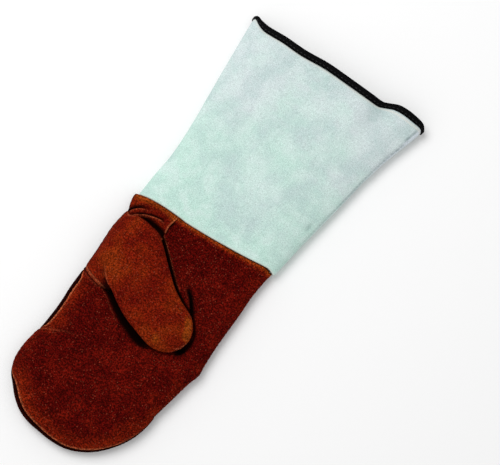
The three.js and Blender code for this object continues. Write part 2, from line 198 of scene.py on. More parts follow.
def evenAngles(start, end, count, half=hand["meanHalf"], rise=hand["meanRise"], fullness=hand["fullness"]):
    # Angles between two, chosen so that the section's points lie evenly along its curve. Start is one
    # for each row.
    dense = np.linspace(-90, 90, 721)
    inset, z = section(dense, half, rise + hand["side"], hand["side"], 0, fullness)
    steps = np.hypot(np.diff(np.where(dense < 0, -inset, inset)), np.diff(z))
    length = np.concatenate([[0], np.cumsum(steps)])
    first, last = np.interp(start, dense, length), np.interp(end, dense, length)
    share = np.linspace(0, 1, count)
    return np.interp(first[:, None] + (last - first)[:, None] * share, length, dense)


def acrossWrist(x):
    # Share of the wrist's width at an x, from the thumb's side.
    return np.clip((x - hand["wristStart"]) / hand["wristWidth"], 0, 1)


def wristLine(x):
    # y of the wrist seam over x, without its bow.
    return hand["wristLeft"] + (hand["wristRight"] - hand["wristLeft"]) * acrossWrist(x)


def bow(x, along):
    # Shift in y that gives the wrist seam its bow.
    return wristBow(acrossWrist(x)) * (1 - np.clip(along, 0, 1)) ** hand["bowFade"]


def alongAt(x, y):
    # Share of the hand's length at a point of the plan: 0 at the wrist seam, 1 at the tip's centre.
    seam = wristLine(x)
    return np.clip((seam - y) / (seam - hand["tipCentre"]), 0, 1)


def nearestMark(x, y, marks):
    # Distance in the plan to the nearest of a list of points, and which one it is. Some thousands of
    # places are worked out at a time.
    flat = np.column_stack([x.ravel(), y.ravel()]).astype(np.float32)
    marks = marks.astype(np.float32)
    near, which = np.empty(len(flat)), np.empty(len(flat), int)
    for start in range(0, len(flat), 8000):
        part = slice(start, start + 8000)
        squares = ((flat[part, None] - marks) ** 2).sum(-1)
        which[part] = squares.argmin(1)
        near[part] = np.sqrt(squares.min(1))
    return near.reshape(x.shape), which.reshape(x.shape)


def domeHeight(x, y):
    # Height of the palm's dome: side + (crown - side) * sqrt(1 - (1 - distance / half)^fullness).
    near, which = nearestMark(x, y, outline[::2])
    crown = palmCrown(alongAt(x, y))
    share = np.clip(1 - near / outlineHalf[::2][which], 0, 1) ** hand["fullness"]
    return hand["side"] + (crown - hand["side"]) * np.sqrt(1 - share)


def nearPath(x, y, rows):
    # Signed distance to the path of a table, positive on the left of its direction, and the table's
    # further columns at the nearest point.
    cx, cy, *columns = pathThrough(rows)(np.linspace(0, 1, 120))
    squares = (x[..., None] - cx) ** 2 + (y[..., None] - cy) ** 2
    which = squares.argmin(-1)
    alongX, alongY = np.gradient(cx)[which], np.gradient(cy)[which]
    side = np.where((y - cy[which]) * alongX > (x - cx[which]) * alongY, 1, -1)
    return side * np.sqrt(squares.min(-1)), *(column[which] for column in columns)


def crease(x, y, rows):
    # Relief along a path of rows x, y, height, width: height * exp(-(distance / width)^2).
    signed, height, width = nearPath(x, y, rows)
    return height * bump(signed, width)


def tuck(x, y, rows, front=5.0, behind=3.0, turn=0.5, shadeReach=2.2):
    # A fold that laps over its neighbour, along a path of rows x, y, rise, dip, shade. On the right of
    # the path the surface stands up by rise and sinks back over front, on the left it lies tucked down
    # by dip and comes back over behind, and the step between them is turn wide on each side. Gives the
    # height, a mask for the painted highlight on the lip and one for the painted shade in the tuck.
    signed, rise, dip, shade = nearPath(x, y, rows)
    far = np.abs(signed)
    step = smooth(signed, -turn, turn)
    height = rise * bump(far, front, 1) * (1 - step) - dip * bump(far, behind, 1) * step
    lip = bump(signed + turn + 0.2, 0.75) * np.clip(shade * 1.2, 0, 1)
    dark = bump(far, shadeReach, 4) * step * shade
    return height, lip, dark


def rolledEdge(distance, radius, depth):
    # Drop of a seam's turned edge: a quarter circle from depth at the seam to nothing at the radius.
    t = 1 - np.clip(distance / radius, 0, 1)
    return depth * (1 - np.sqrt(1 - t * t))


def gridNormals(points, around=False):
    # Normals of a grid of points: the step along a row crossed with the step to the next row.
    if around:
        row = np.roll(points, -1, 1) - np.roll(points, 1, 1)
    else:
        row = np.gradient(points, axis=1)
    normals = np.cross(row, np.gradient(points, axis=0))
    return normals / np.maximum(np.linalg.norm(normals, axis=-1, keepdims=True), 1e-9)


def addObject(name, data):
    thing = bpy.data.objects.new(name, data)
    bpy.context.scene.collection.objects.link(thing)
    return thing


def pieceFromGrid(name, points, around=False, values=None):
    # A mesh from a grid of points in millimetres. Points that coincide become one, faces that shrink
    # to a line are left out, and values are stored on the vertices for the materials.
    rows, columns = points.shape[:2]
    place = points.reshape(-1, 3) + (0, hand["centreShift"], 0)
    _, first, same = np.unique(np.round(place, 3), axis=0, return_index=True, return_inverse=True)
    index = np.arange(rows * columns).reshape(rows, columns)
    right = np.roll(index, -1, 1) if around else index[:, 1:]
    left = index if around else index[:, :-1]
    quads = same.ravel()[np.stack([left[:-1], right[:-1], right[1:], left[1:]], -1).reshape(-1, 4)]
    # a quad with one pair of joined corners is a triangle, and one folded on itself is no face
    joined = quads == np.roll(quads, 1, 1)
    folded = (quads[:, 0] == quads[:, 2]) | (quads[:, 1] == quads[:, 3])
    whole = quads[~joined.any(1) & ~folded]
    narrow = joined.sum(1) == 1
    threes = quads[narrow][~joined[narrow]].reshape(-1, 3)
    mesh = bpy.data.meshes.new(name)
    mesh.from_pydata((place[first] * mm).tolist(), [], whole.tolist() + threes.tolist())
    mesh.update()
    mesh.polygons.foreach_set("use_smooth", np.ones(len(mesh.polygons), bool))
    for label, value in (values or {}).items():
        layer = mesh.attributes.new(label, "FLOAT", "POINT")
        full = np.broadcast_to(value, (rows, columns)).ravel()
        layer.data.foreach_set("value", full[first].astype(np.float32))
    return addObject(name, mesh)


def giveThickness(piece, thickness):
    # Wall thickness inwards. Where a "wall" value below 1 is stored the wall is thinner by that share.
    wall = piece.modifiers.new("wall", "SOLIDIFY")
    wall.thickness = thickness * mm
    wall.offset = -1
    wall.use_rim = True
    layer = piece.data.attributes.get("wall")
    if layer:
        share = np.empty(len(layer.data), np.float32)
        layer.data.foreach_get("value", share)
        group = piece.vertex_groups.new(name="wall")
        for tenth in range(1, 11):
            chosen = np.flatnonzero(np.clip(np.round(share * 10), 1, 10) == tenth)
            group.add(chosen.tolist(), tenth / 10, "REPLACE")
        wall.vertex_group = "wall"
        wall.thickness_vertex_group = 0.02


def finishPiece(piece, material, slot, *nodes):
    # Gives a piece its material and names the solids that it stands for; its slot is not used.
    piece.data.materials.append(material)
    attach(piece, "root")
    if nodes:
        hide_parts(*nodes)
    print("made", piece.name, len(piece.data.vertices), "points")


def alongRows(points):
    # Length along each row of a grid, from its first point.
    steps = np.linalg.norm(np.diff(points, axis=1), axis=-1)
    return np.concatenate([np.zeros((len(points), 1)), np.cumsum(steps, 1)], 1)


def ringsOutward(points, normals):
    # Above 0 where the normals of a grid of closed rings look away from the rings' middles.
    return (normals * (points - points.mean(1, keepdims=True))).sum(-1).mean()


def makeWall(name, points, values, outward, thickness, finish, node, around=False):
    # A piece with a wall, its rows in the order that makes the faces look outwards. Outward is
    # negative where they look inwards as they stand. Finish is the material and its slot.
    if outward < 0:
        points = points[::-1]
        values = {label: value[::-1] for label, value in values.items()}
    piece = pieceFromGrid(name, points, around, values)
    giveThickness(piece, thickness)
    finishPiece(piece, *finish, node)


# Camera, light and table, in degrees and metres: the camera looks at the target from that azimuth and
# elevation, the sky and the key lamp light it softly, and table is how bright the table is.
view = {
    "azimuth": 38, "elevation": 82, "distance": 1.3, "lens": 93.2, "target": (0.0282, 0.04425, 0.0),
    "sky": 0.66, "key": 19.0, "keyPlace": (-0.9, 0.3, 1.65), "keySize": 1.3, "table": 0.93,
    "tableReach": 6.0,
}


def direction(azimuth, elevation):
    a, e = math.radians(azimuth), math.radians(elevation)
    return np.array([math.sin(a) * math.cos(e), -math.cos(a) * math.cos(e), math.sin(e)])


def aim(thing, place, target):
    # Puts a camera or light at a place, looking at a target, with world Y as near up as can be.
    thing.location = Vector(place)
    thing.rotation_euler = (Vector(target) - Vector(place)).to_track_quat("-Z", "Y").to_euler()


def setCamera():
    camera = addObject("camera", bpy.data.cameras.new("camera"))
    camera.data.sensor_fit = "HORIZONTAL"
    camera.data.sensor_width = 36
    camera.data.lens = view["lens"]
    camera.data.clip_start = 0.01
    away = view["distance"] * direction(view["azimuth"], view["elevation"])
    aim(camera, np.array(view["target"]) + away, view["target"])
    bpy.context.scene.camera = camera


def setLight():
    world = bpy.data.worlds.new("studio")
    bpy.context.scene.world = world
    world.use_nodes = True
    background = world.node_tree.nodes["Background"]
    background.inputs["Color"].default_value = (1, 1, 1, 1)
    background.inputs["Strength"].default_value = view["sky"]
    lamp = addObject("softbox", bpy.data.lights.new("softbox", "AREA"))
    lamp.data.shape = "DISK"
    lamp.data.size = view["keySize"]
    lamp.data.energy = view["key"]
    aim(lamp, view["keyPlace"], (0, 0, 0))


def setTable():
    mesh = bpy.data.meshes.new("table")
    far = view["tableReach"]
    mesh.from_pydata([(-far, -far, 0), (far, -far, 0), (far, far, 0), (-far, far, 0)], [], [(0, 1, 2, 3)])
    table = addObject("table", mesh)
    paint = Finish("pale_table")
    paint.set("Base Color", (view["table"],) * 3 + (1,))
    paint.set("Roughness", 0.9)
    paint.set("Specular IOR Level", 0.1)
    mesh.materials.append(paint.material)


def setStage():
    setCamera()
    setLight()
    setTable()
    bpy.context.scene.view_settings.view_transform = "Standard"
    print("camera, light and table set")


class Link:
    # A socket of a shader. Sums on links add Math nodes, with a number or a link on either side.

    def __init__(self, tree, socket):
        self.tree, self.socket = tree, socket

    def math(self, operation, *others, first=None):
        node = self.tree.nodes.new("ShaderNodeMath")
        node.operation = operation
        values = (self, *others) if first is None else (first, self)
        for place, value in enumerate(values):
            connect(self.tree, value, node.inputs[place])
        return Link(self.tree, node.outputs[0])

    def __add__(self, other):
        return self.math("ADD", other)

    def __sub__(self, other):
        return self.math("SUBTRACT", other)

    def __rsub__(self, other):
        return self.math("SUBTRACT", first=other)

    def __mul__(self, other):
        return self.math("MULTIPLY", other)

    def __truediv__(self, other):
        return self.math("DIVIDE", other)

    def __rtruediv__(self, other):
        return self.math("DIVIDE", first=other)

    def __pow__(self, other):
        return self.math("POWER", other)

    __radd__ = __add__
    __rmul__ = __mul__


def connect(tree, value, socket):
    if isinstance(value, Link):
        tree.links.new(value.socket, socket)
    else:
        socket.default_value = value


class Finish:
    # A material with one Principled shader.

    def __init__(self, name):
        self.material = bpy.data.materials.new(name)
        self.material.use_nodes = True
        self.tree = self.material.node_tree
        self.shader = self.tree.nodes["Principled BSDF"]

    def set(self, socket, value):
        connect(self.tree, value, self.shader.inputs[socket])

    def node(self, kind, settings=None, inputs=None, output=0):
        # Any other node: its settings first, then the values or links of its sockets.
        node = self.tree.nodes.new(kind)
        for name, value in (settings or {}).items():
            setattr(node, name, value)
        for name, value in (inputs or {}).items():
            connect(self.tree, value, node.inputs[name])
        return Link(self.tree, node.outputs[output])

    def place(self):
        return self.node("ShaderNodeTexCoord", output="Object")

    def noise(self, scale, detail=3.0, roughness=0.5):
        return self.node("ShaderNodeTexNoise", {}, {
            "Vector": self.place(), "Scale": scale, "Detail": detail, "Roughness": roughness})

    def ramp(self, value, low, high):
        # 0 below low, 1 above high, smooth between.
        return self.node("ShaderNodeMapRange", {"interpolation_type": "SMOOTHSTEP"}, {
            "Value": value, "From Min": low, "From Max": high, "To Min": 0.0, "To Max": 1.0})

    def mix(self, factor, a, b, blend="MIX"):
        return self.node("ShaderNodeMix", {"data_type": "RGBA", "blend_type": blend, "clamp_result": False},
                         {0: factor, 6: a, 7: b}, output=2)

    def grey(self, value):
        return self.node("ShaderNodeCombineColor", {}, {"Red": value, "Green": value, "Blue": value})

    def nap(self, height, strength):
        # Unevenness of half a millimetre, given to the shader as its normal.
        bumps = {"Strength": strength, "Distance": 0.0005, "Height": height}
        self.set("Normal", self.node("ShaderNodeBump", {}, bumps))

    def stored(self, name):
        return self.node("ShaderNodeAttribute", {"attribute_type": "GEOMETRY", "attribute_name": name},
                         output="Fac")


def colour(red, green, blue):
    # A colour given in screen values from 0 to 255, as the shader's linear one.
    screen = np.array([red, green, blue]) / 255
    linear = np.where(screen <= 0.04045, screen / 12.92, ((screen + 0.055) / 1.055) ** 2.4)
    return (*linear.tolist(), 1.0)


suede = {
    "wine": colour(68, 5, 3), "brown": colour(88, 12, 5), "warm": colour(108, 25, 6),
    "orange": colour(136, 62, 14), "dark": colour(5, 1, 1), "fleck": colour(170, 88, 62),
    "pale": colour(168, 92, 58), "sheen": colour(220, 90, 30),
    # how many of each lie in a metre, about
    "clouds": 24, "patches": 70, "grain": 620, "fineGrain": 1400, "fleckCells": 460,
    # contrast of the two grains, the tone they lie about and the darkest that a grain may be
    "grainContrast": 5.0, "fineContrast": 4.4, "tone": 0.94, "darkest": 0.4,
}


def suedeFinish(name, warmth):
    # Brown suede: soft clouds from wine red to brown, warmer and lighter near the rims and seams where
    # the stored edge value paints sheen, a speckled grain and scattered pale flecks; pale where the lip
    # value paints highlights and near black where the deep value paints shade. Warmth 1 is the lighter
    # leather of the thumb piece, lighter partly for its nap and partly as painted light. Gives the
    # material and its slot, as the other finishes do.
    skin = Finish(name)
    cloud = skin.noise(suede["clouds"], 3.0, 0.5)
    patch = skin.noise(suede["patches"], 3.0, 0.6)
    # the stored edge value paints sheen: the colour turns warmer and lighter near the rims and seams
    edge = skin.stored("edge")
    if warmth > 0:
        base = skin.mix(skin.ramp(cloud * 0.6 + patch * 0.5, 0.4, 0.64), suede["brown"], suede["warm"])
        base = skin.mix(skin.ramp(cloud * 0.8 + patch * 0.3, 0.56, 0.74) * 0.25, base, suede["orange"])
    else:
        base = skin.mix(skin.ramp(cloud * 0.6 + patch * 0.5, 0.5, 0.7) * 0.8, suede["wine"], suede["brown"])
        base = skin.mix(skin.ramp(edge + (patch - 0.5) * 0.7, 0.05, 0.6) * 0.9, base, suede["warm"])
    base = skin.mix(skin.ramp(edge + (patch - 0.5) * 0.6, 0.4, 1.15) * 0.8, base, suede["orange"])
    # the stored lip value paints pale highlights on brinks, fold lips and seam edges, and pale specks on
    # the thumb's tip
    base = skin.mix(skin.stored("lip") * 0.85, base, suede["pale"])
    grain = skin.noise(suede["grain"], 1.0, 0.5)
    fine = skin.noise(suede["fineGrain"], 1.0, 0.5)
    rough = 1 - 0.3 * warmth
    tone = (grain - 0.5) * (suede["grainContrast"] * rough) + (fine - 0.5) * (suede["fineContrast"] * rough)
    tone = (tone + suede["tone"]).math("MAXIMUM", suede["darkest"])
    base = skin.mix(1.0, base, skin.grey(tone), "MULTIPLY")
    cells = {"Vector": skin.place(), "Scale": suede["fleckCells"], "Randomness": 1.0}
    near = skin.node("ShaderNodeTexVoronoi", {"feature": "F1"}, cells)
    pick = skin.node("ShaderNodeSeparateColor", {}, {
        "Color": skin.node("ShaderNodeTexVoronoi", {"feature": "F1"}, cells, output="Color")})
    # pale flecks come thicker and stronger where this value is set, near the thumb's tip
    moreFlecks = skin.stored("moreFlecks")
    strength = skin.ramp(pick + moreFlecks * 0.5, 0.5, 1.0) * (0.45 + moreFlecks * 0.55)
    base = skin.mix((1 - skin.ramp(near, 0.1, 0.34)) * strength, base, suede["fleck"])
    # the stored deep value paints shade: near black in hollows, folds, gaps and undersides
    base = skin.mix(skin.stored("deep"), base, suede["dark"])
    skin.set("Base Color", base)
    skin.set("Roughness", 0.95)
    skin.set("Specular IOR Level", 0.02)
    skin.set("Sheen Weight", 0.04)
    skin.set("Sheen Roughness", 0.5)
    skin.set("Sheen Tint", suede["sheen"])
    skin.nap(grain * 0.6 + fine * 0.4, 0.5)
    return skin.material, name


cuffTone = {
    "mint": colour(186, 218, 206), "lilac": colour(202, 213, 214), "grey": colour(174, 198, 195),
    "light": colour(210, 224, 222), "cream": colour(232, 224, 212), "shade": colour(96, 116, 122),
    "strip": colour(212, 220, 228),
    "clouds": 17, "patches": 60, "wear": 31, "grain": 900, "fineGrain": 1800,
    # where along the glove, in metres, mint turns to lilac
    "fadeFrom": 0.02, "fadeTo": 0.26,
}


def cuffFinish():
    # Pale grey suede: mint near the wrist and lilac near the mouth, with soft grey and light clouds, a
    # fine short grain, cream along its cut edges, a painted highlight beside the side seam and painted
    # shade in the seam's groove, the dimple and the dent.
    skin = Finish("grey_suede")
    cloud = skin.noise(cuffTone["clouds"], 4.0, 0.6)
    patch = skin.noise(cuffTone["patches"], 4.0, 0.6)
    grain = skin.noise(cuffTone["grain"], 1.5, 0.6)
    fine = skin.noise(cuffTone["fineGrain"], 1.0, 0.5)
    wear = skin.noise(cuffTone["wear"], 5.0, 0.65)
    onward = skin.node("ShaderNodeSeparateXYZ", {}, {"Vector": skin.place()}, output="Y")
    uneven = (cloud - 0.5) * 0.5 + (patch - 0.5) * 0.2
    fade = skin.ramp(onward + uneven, cuffTone["fadeFrom"], cuffTone["fadeTo"])
    base = skin.mix(fade, cuffTone["mint"], cuffTone["lilac"])
    base = skin.mix(skin.ramp(wear, 0.42, 0.68) * 0.55, base, cuffTone["grey"])
    base = skin.mix(skin.ramp(patch * 0.5 + wear * 0.5, 0.55, 0.36) * 0.5, base, cuffTone["light"])
    # the stored strip value paints a pale highlight beside the side seam
    base = skin.mix(skin.stored("strip"), base, cuffTone["strip"])
    base = skin.mix(1.0, base, skin.grey((grain - 0.5) * 0.7 + (fine - 0.5) * 0.5 + 1.01), "MULTIPLY")
    # the stored deep value paints shade in the side seam's groove, the dimple and the dent
    base = skin.mix(skin.stored("deep"), base, cuffTone["shade"])
    base = skin.mix(skin.stored("lip"), base, cuffTone["cream"])
    skin.set("Base Color", base)
    skin.set("Roughness", 0.95)
    skin.set("Specular IOR Level", 0.05)
    skin.set("Sheen Weight", 0.03)
    skin.nap(grain * 0.6 + fine * 0.4, 0.4)
    return skin.material, "grey_suede"


tapeTone = {
    "ground": colour(3, 3, 4), "rib": colour(16, 15, 17),
    "thread": colour(24, 24, 26), "twist": colour(66, 66, 68),
}


def tapeFinish():
    # Black woven tape with fine ribs.
    cloth = Finish("black_tape")
    weave = cloth.noise(900, 2.0, 0.6)
    ribs = cloth.ramp(weave, 0.5, 0.8)
    cloth.set("Base Color", cloth.mix(ribs, tapeTone["ground"], tapeTone["rib"]))
    cloth.set("Roughness", 0.75)
    cloth.set("Specular IOR Level", 0.05)
    cloth.nap(weave, 0.5)
    return cloth.material, "black_tape"


def threadFinish():
    # Dark thread, a little lighter than the tape.
    thread = Finish("dark_thread")
    twist = thread.noise(1400, 2.0, 0.5)
    lit = thread.ramp(twist, 0.4, 0.7)
    thread.set("Base Color", thread.mix(lit, tapeTone["thread"], tapeTone["twist"]))
    thread.set("Roughness", 0.6)
    thread.set("Specular IOR Level", 0.2)
    return thread.material, "black_tape"


wing = {"y": -85.8, "fall": 6.6, "side": -78.0, "over": 15.0}


def wingSeam(x):
    # The seam that the wing shares with the palm: y over x, falling fast from the side and levelling.
    return wing["y"] - wing["fall"] * (1 - np.exp(-np.maximum(x - wing["side"], 0) / wing["over"]))


def insidePolygon(x, y, polygon):
    # Even-odd rule: how often a line to the right crosses the polygon.
    px, py = polygon[:, 0], polygon[:, 1]
    qx, qy = np.roll(px, -1), np.roll(py, -1)
    inside = np.zeros(x.shape, bool)
    for ax, ay, bx, by in zip(px, py, qx, qy):
        if ay != by:
            inside ^= ((ay > y) != (by > y)) & (x < (bx - ax) * (y - ay) / (by - ay) + ax)
    return inside


# Valley in the palm along the thumb: step, then depth, width and shade on the upper side and on the
# lower side.
valleyCurve = curveThrough([
    (0, 0, 3, 0, 0, 4, 0.9), (1.5, 3, 3, 0.9, 0, 4, 0.9), (2.5, 7, 3, 1, 1.5, 5, 0.95),
    (3.5, 8, 3.4, 1, 5, 7, 1), (5, 8, 3.4, 1, 7, 7.4, 1), (6, 7.8, 3.2, 1, 8, 7.6, 1),
    (7, 7.5, 3, 1, 8.5, 8, 1), (8.5, 6.5, 2.8, 1, 8.5, 9.4, 1), (9.2, 5, 2.8, 0.85, 8.2, 10.6, 1),
    (9.7, 4.6, 3, 0.8, 6.6, 9.4, 1), (10.1, 4, 3, 0.7, 4.4, 7, 0.9), (10.5, 4, 3, 0.7, 2.2, 3.6, 0.65),
    (11, 4, 3, 0.7, 1.3, 2.4, 0.35), (11.8, 5, 4, 0.75, 1.2, 2.2, 0.3),
    (12.6, 5.4, 4.4, 0.8, 1.2, 2.2, 0.3), (13.1, 6, 5, 0.8, 2.6, 3.4, 0.6),
    (13.5, 6.5, 5.6, 0.9, 5.4, 6, 1), (14, 6.5, 6, 1, 6, 6.6, 1),
])


def thumbValley(x, y):
    # Depth of the hollow that the folded thumb lies in: full under the thumb, and beside it falling
    # away over a width that changes round the thumb's outline. Also gives the distance from the
    # outline as a share of that width, and the shade.
    polygon, steps = thumbOutline()
    distance, which = nearestMark(x, y, polygon)
    distance = np.where(insidePolygon(x, y, polygon), 0, distance)
    found = valleyCurve(np.concatenate([steps, steps[::-1]])[which])
    depth, width, shade = np.where(which < len(steps), found[:3], found[3:])
    share = distance / width
    return depth * (1 - smooth(share, 0.15, 1.1)), share, shade * (1 - smooth(share, 0.64, 1.12))


palm = {
    "rows": 400, "wrapColumns": 16, "columns": 102, "wrapTo": 45.0,
    # edge of the cut-out from the wrist seam to the corner at the thumb's crotch: x, y
    "cutEdge": [(-34.6, 9), (-34.6, -1), (-36.4, -9), (-35, -13), (-33, -24), (-33.1, -48), (-35, -70),
                (-44, -91)],
    # place on that edge where the rows end, over the share of the rows
    "cutShare": [(0, 0), (0.2, 0.35), (0.37, 0.6), (0.6, 0.8), (0.86, 0.95), (1, 1)],
    "wingY": -86.6,        # where the wing's seam meets the thumb's side
    "cutLine": -34.9,      # x of the cut-out's edge beside the wrist seam
    # turned edges at the outer seam, the wrist and the wing
    "seamRadius": 2.6, "seamDepth": 1.2, "wristRadius": 4.5, "wristDepth": 2.6,
    "wingRadius": 3.0, "wingDepth": 1.8,
    "pucker": 0.16, "puckerStep": 5.2, "puckerReach": 3.5,
    # the tip's side bulges over the seam below this fold: x, y, rise, dip, shade
    "pinch": [(-77, -160.6, 0, 0, 0.2), (-73.7, -158.8, 0.7, 0.7, 0.5), (-68, -155.1, 1.0, 0.8, 0.45),
              (-61.7, -151.9, 0.9, 0.6, 0.4), (-55.9, -148.2, 0.6, 0.4, 0.3), (-48, -144.6, 0.3, 0.2, 0.2),
              (-38, -142, 0, 0, 0)],
    # crease beside the thumb's neck: x, y, rise, dip, shade
    "neck": [(13.4, -40.6, 0, 0, 0.2), (16.6, -42.8, 0.3, 1.6, 0.8), (19.9, -45.4, 0.6, 3.4, 1.1),
             (24.6, -49.2, 0.8, 5.5, 1.2), (29.2, -54.3, 0.8, 6, 1.2), (33.4, -59.7, 0.6, 5, 1.2),
             (38, -67, 0.4, 2.4, 1), (44, -76, 0, 0, 0.3)],
}


def palmPlan():
    # The palm's points in the plan and their height. Rows run from the outer seam to the edge of the
    # cut-out: the first columns follow the section up from the seam, and the rest run on a curve that
    # leaves the outline squarely and ends on the cut-out, as high as the dome. Also gives each row's
    # share of the way round, the length of that way and the roll of the seam.
    whole = outlineLength[-1]
    side = slice(0, hand["sideSteps"])
    end = np.interp(-palm["wingY"], -outline[side, 1], outlineLength[side])
    share = np.linspace(0, 1, palm["rows"])
    edge, middle, half, roll, along = stationsAt(whole + (end - whole) * share)
    inward = (middle - edge) / half[:, None]
    seam = roll * hand["seamSwing"] + hand["seamHalf"]
    wrap = evenAngles(seam, np.full(len(seam), palm["wrapTo"]), palm["wrapColumns"])
    inset, z = section(wrap, half[:, None], palmCrown(along)[:, None], hand["side"], 0, hand["fullness"])
    near = edge[:, None] + inward[:, None] * inset[..., None]
    target = np.stack(pathThrough(palm["cutEdge"])(curveThrough(palm["cutShare"])(share)), -1)
    first = near[:, -1]
    reach = np.linalg.norm(target - first, axis=1, keepdims=True)
    bend = first + inward * reach * 0.45
    t = (np.linspace(0, 1, palm["columns"] + 1)[1:] ** 0.9)[None, :, None]
    far = first[:, None] * (1 - t) ** 2 + bend[:, None] * 2 * t * (1 - t) + target[:, None] * t**2
    flat = np.concatenate([near, far], 1)
    # the last rows are drawn on to the wing's seam
    last = smooth(share, 0.94, 1)[:, None]
    flat[..., 1] += last * (wingSeam(flat[..., 0]) - flat[-1:, :, 1])
    x, y = flat[..., 0], flat[..., 1]
    height = np.concatenate([z, domeHeight(x[:, z.shape[1]:], y[:, z.shape[1]:])], 1)
    return x, y, height, share[:, None], whole - end, roll[:, None]


def makePalm(finish):
    # Palm panel: the dome with the thumb's hollow, the fold on the tip's side, the crease beside the
    # thumb's neck and turned edges all round.
    x, y, height, share, span, roll = palmPlan()
    valley, away, hollowShade = thumbValley(x, y)
    height = height - valley * smooth(height, 12, 20)
    pinch, pinchLip, pinchDark = tuck(x, y, palm["pinch"], 9, 6, 0.9, 3)
    neck, neckLip, neckDark = tuck(x, y, palm["neck"], 7, 3.8, 0.7, 4.8)
    height += pinch + neck * smooth(height, 12, 20)
    height += waves(x, y, 46, 0.5, 3) * smooth(height, 10, 20) + waves(x, y, 19, 0.16, 5)
    fromWrist = np.maximum(wristLine(x) - y, 0)
    fromWing = (1 - share) * span + 0 * x
    height -= rolledEdge(fromWrist, palm["wristRadius"], palm["wristDepth"])
    height -= rolledEdge(np.where(x < -40, fromWing, 99), palm["wingRadius"], palm["wingDepth"])
    points = np.stack([x, y + bow(x, alongAt(x, y)), height], -1)
    normals = gridNormals(points)
    outward = np.sign(normals[..., 2].mean())
    fromSeam = alongRows(points)
    arc = share * span
    pucker = palm["pucker"] * np.sin(arc * 2 * math.pi / palm["puckerStep"] + 1.3 * np.sin(arc / 17))
    drop = rolledEdge(fromSeam, palm["seamRadius"], palm["seamDepth"])
    drop += pucker * bump(fromSeam, palm["puckerReach"])
    points -= outward * normals * drop[..., None]
    # painted highlights on the pale brinks: the outer seam's edge, the folds, the upper and lower brink of
    # the hollow, the wing
    lips = [
        0.8 * smooth(roll, 0.05, 0.6) * bump(fromSeam - 1.9, 1.0),
        0.35 * pinchLip + 0.05 * neckLip,
        0.3 * bump(away - 1.1, 0.14) * (y > -52) * (x < 12),
        0.12 * bump(away - 1.08, 0.05) * (y < -88) * (x < -20),
        0.12 * bump(fromWing - 3.2, 0.8) * (x < -52),
    ]
    # painted shade: the hollow, the two folds, and the gaps at the wrist, the wing and the cut-out
    darks = [
        0.98 * hollowShade * smooth(valley, 0.1, 1.2),
        0.7 * pinchDark,
        neckDark,
        0.35 * bump(fromWrist, 0.5, 1),
        0.97 * bump(fromWing, 2.3, 4) * (x < -40),
        0.85 * bump(x - palm["cutLine"], 0.8, 1) * (y > -12) * (x < -33),
    ]
    # painted sheen, stored as edge: a lighter, warmer band along the outer seam and beside the wrist seam
    ochre = (0.19 + 0.26 * smooth(roll, -0.4, 0.4)) * bump(fromSeam, 17 + 4 * smooth(-y, 150, 200))
    values = {
        "edge": ochre + 0.95 * bump(fromWrist, 5),
        "lip": np.clip(sum(lips), 0, 1),
        "deep": np.minimum(1, np.maximum.reduce(darks)),
        "moreFlecks": smooth(x, 30, 60) * smooth(-y, 90, 120) * bump(fromSeam, 5, 1),
    }
    makeWall("palm_panel", points, values, outward, hand["leather"], finish, "palm")


back = {"rows": 420, "columns": 70, "seamRadius": 2.5, "seamDepth": 1.2}


def makeBack(finish):
    # Back panel: the section of each station from the seam down round the side to the middle of the
    # underside. Beside the seam it is painted dark as shade, most where the seam runs on the palm.
    edge, middle, half, roll, along = stationsAt(np.linspace(0, outlineLength[-1], back["rows"]))
    inward = (middle - edge) / half[:, None]
    seam = roll * hand["seamSwing"] - hand["seamHalf"]
    angles = evenAngles(seam, np.full(len(seam), -90.0), back["columns"])
    inset, z = section(angles, half[:, None], palmCrown(along)[:, None], hand["side"], 0, hand["fullness"])
    flat = edge[:, None] + inward[:, None] * np.minimum(inset, half[:, None])[..., None]
    x, y = flat[..., 0], flat[..., 1]
    points = np.stack([x, y + bow(x, along[:, None]), z], -1)
    fromSeam = alongRows(points)
    normals = gridNormals(points)
    outward = np.sign(-normals[:, -8, 2].mean())
    normals *= outward
    normals[:, -1] = (0, 0, -1)
    points -= normals * rolledEdge(fromSeam, back["seamRadius"], back["seamDepth"])[..., None]
    # painted shade, stored as deep: darker within about 11 mm of the seam, darkest where the seam runs on
    # the palm, and a dark line at the seam; painted sheen, stored as edge, beside the seam where it runs
    # underneath
    band = smooth(roll, -0.35, 0.3)[:, None]
    values = {
        "edge": 0.3 * bump(fromSeam, 5, 1) * (1 - band),
        "deep": np.maximum((0.45 + 0.4 * band) * bump(fromSeam, 11, 4), 0.9 * bump(fromSeam, 0.8, 1)),
    }
    makeWall("back_panel", points, values, outward, hand["leather"], finish, "back")


